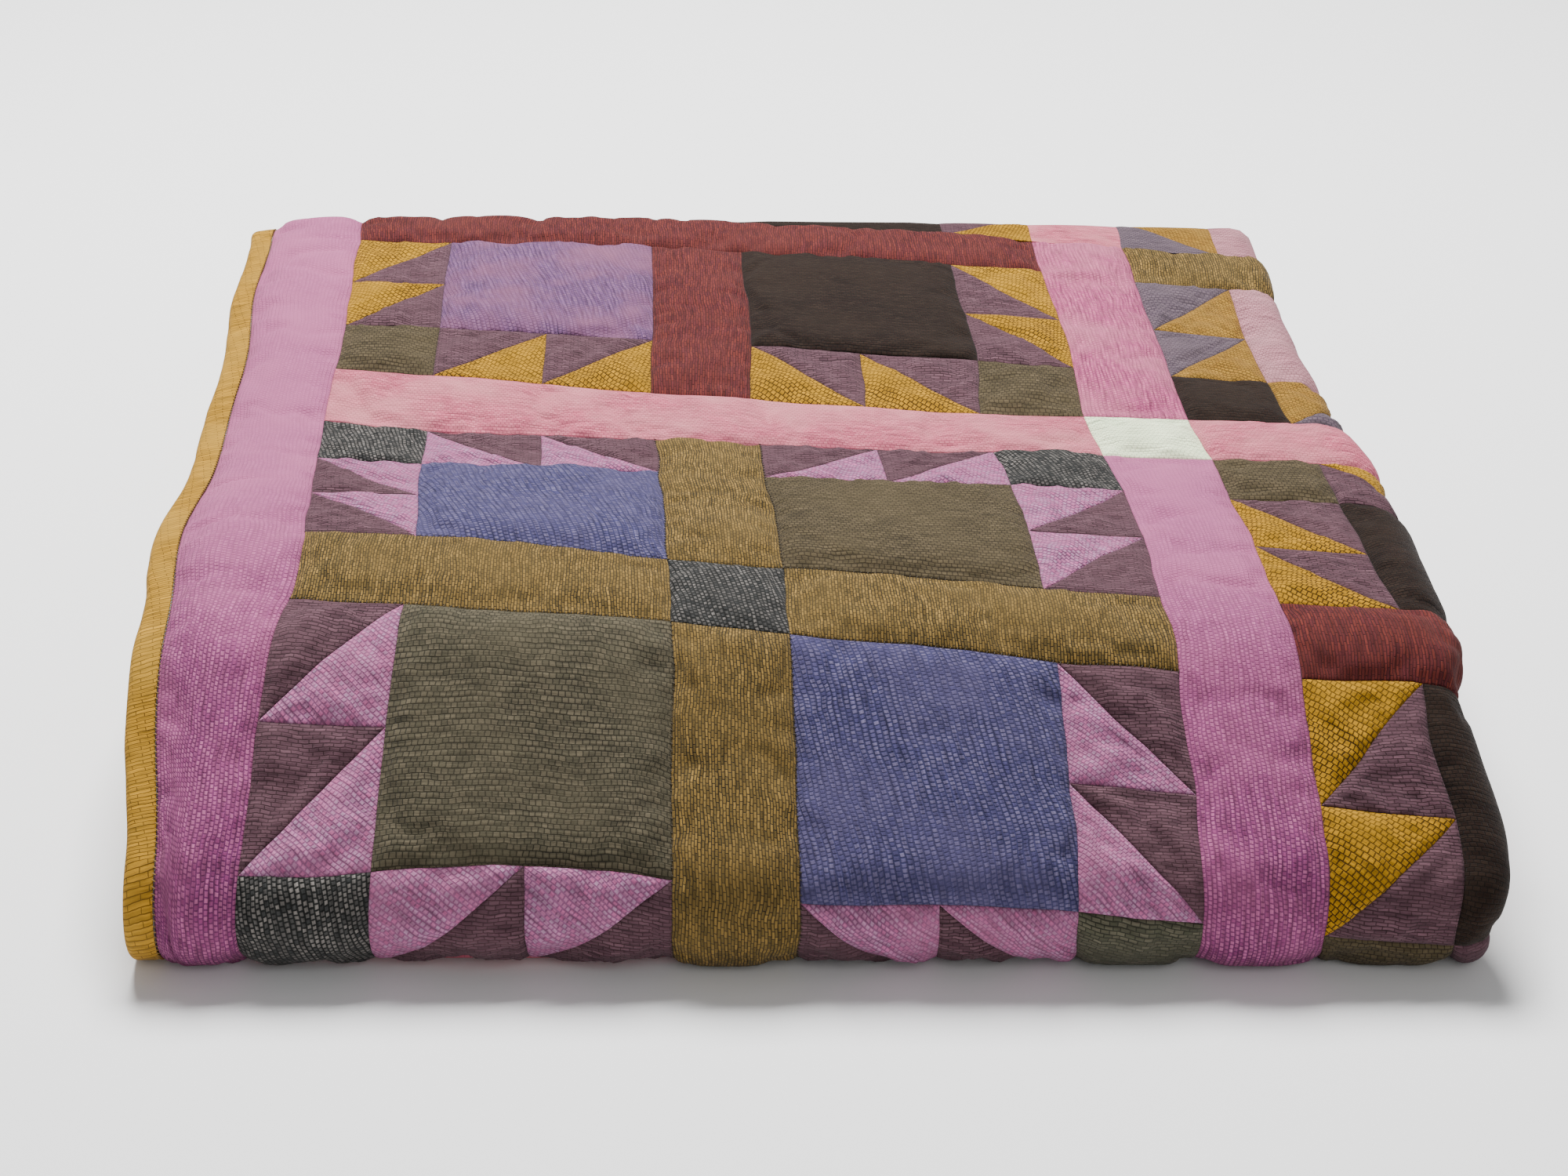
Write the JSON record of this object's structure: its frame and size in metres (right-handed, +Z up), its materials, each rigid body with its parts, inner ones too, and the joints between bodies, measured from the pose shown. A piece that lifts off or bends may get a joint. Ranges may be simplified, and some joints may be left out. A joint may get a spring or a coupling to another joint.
{
  "type": "folded patchwork quilt",
  "caption": "Pieced cotton quilt with paw-like blocks, wide sashes and a narrow bound edge, folded flat both ways into a soft square packet with a low sloping front fold.",
  "frame": {"origin": "middle of the base of the folded packet's box, on the surface it rests on", "axes": "+X to the packet's right, from its bound edge to its folded side; +Y from the front fold to the back fold; +Z up through the folded layers"},
  "size_m": [0.6072, 0.63, 0.1133],
  "materials": {
    "magenta": "shot hand-woven cotton, magenta with paler threads",
    "pink": "hand-woven cotton, rose pink fading paler",
    "mint": "plain-woven cotton, pale mint",
    "ochre_shot": "shot cotton, ochre crossed with dark brown threads",
    "teal": "hand-woven cotton, charcoal with grey threads",
    "olive": "coarse hand-woven cotton, olive",
    "blue": "coarse hand-woven cotton, dusty blue",
    "lilac": "hand-woven cotton, lilac",
    "rust": "hand-woven cotton, rust red",
    "plum_rose": "pieced cotton triangles, slubby plum and dotted rose",
    "plum_mustard": "pieced cotton triangles, plum and dashed mustard",
    "grey_mustard": "pieced cotton triangles, grey lavender and ochre",
    "umber": "coarse hand-woven cotton, dark brown",
    "dusty_rose": "hand-woven cotton, pale dusty rose",
    "mustard": "ribbed cotton binding, mustard",
    "patchwork": "pieced cotton, folded out of sight",
    "cotton_wool": "cotton wadding, off-white",
    "backing_cloth": "plain-woven cotton backing, unbleached"
  },
  "bodies": {
    "root": {"back_block_cross_bar": "rust", "back_block_front_arm": "rust", "back_block_front_left_corner": "olive", "back_block_front_left_end_teeth": "plum_mustard", "back_block_front_left_side_teeth": "plum_mustard", "back_block_front_left_square": "lilac", "back_block_front_right_corner": "olive", "back_block_front_right_end_teeth": "plum_mustard", "back_block_front_right_side_teeth": "plum_mustard", "back_block_front_right_square": "umber", "back_end_binding": "mustard", "backing": "backing_cloth", "cornerstone": "mint", "far_block_front_left_corner": "umber", "far_block_front_left_end_teeth": "grey_mustard", "far_block_front_left_side_teeth": "grey_mustard", "far_block_front_left_square": "dusty_rose", "far_block_left_arm": "ochre_shot", "front_block_back_arm": "ochre_shot", "front_block_back_left_corner": "teal", "front_block_back_left_end_teeth": "plum_rose", "front_block_back_left_side_teeth": "plum_rose", "front_block_back_left_square": "blue", "front_block_back_right_corner": "teal", "front_block_back_right_end_teeth": "plum_rose", "front_block_back_right_side_teeth": "plum_rose", "front_block_back_right_square": "olive", "front_block_centre": "teal", "front_block_front_arm": "ochre_shot", "front_block_front_left_corner": "teal", "front_block_front_left_end_teeth": "plum_rose", "front_block_front_left_side_teeth": "plum_rose", "front_block_front_left_square": "olive", "front_block_front_right_corner": "teal", "front_block_front_right_end_teeth": "plum_rose", "front_block_front_right_side_teeth": "plum_rose", "front_block_front_right_square": "blue", "front_block_left_arm": "ochre_shot", "front_block_right_arm": "ochre_shot", "front_end_binding": "mustard", "inner_layers_patchwork": "patchwork", "inner_leaf_patchwork": "patchwork", "left_binding": "mustard", "left_border": "magenta", "middle_sash_left": "pink", "middle_sash_right": "pink", "right_binding": "mustard", "right_block_back_left_corner": "olive", "right_block_back_left_end_teeth": "plum_mustard", "right_block_back_left_side_teeth": "plum_mustard", "right_block_back_left_square": "umber", "right_block_front_left_corner": "olive", "right_block_front_left_end_teeth": "plum_mustard", "right_block_front_left_side_teeth": "plum_mustard", "right_block_front_left_square": "umber", "right_block_left_arm": "rust", "right_sash_back": "pink", "right_sash_front": "magenta", "underside_patchwork": "patchwork", "wadding": "cotton_wool"}
  },
  "joints": []
}
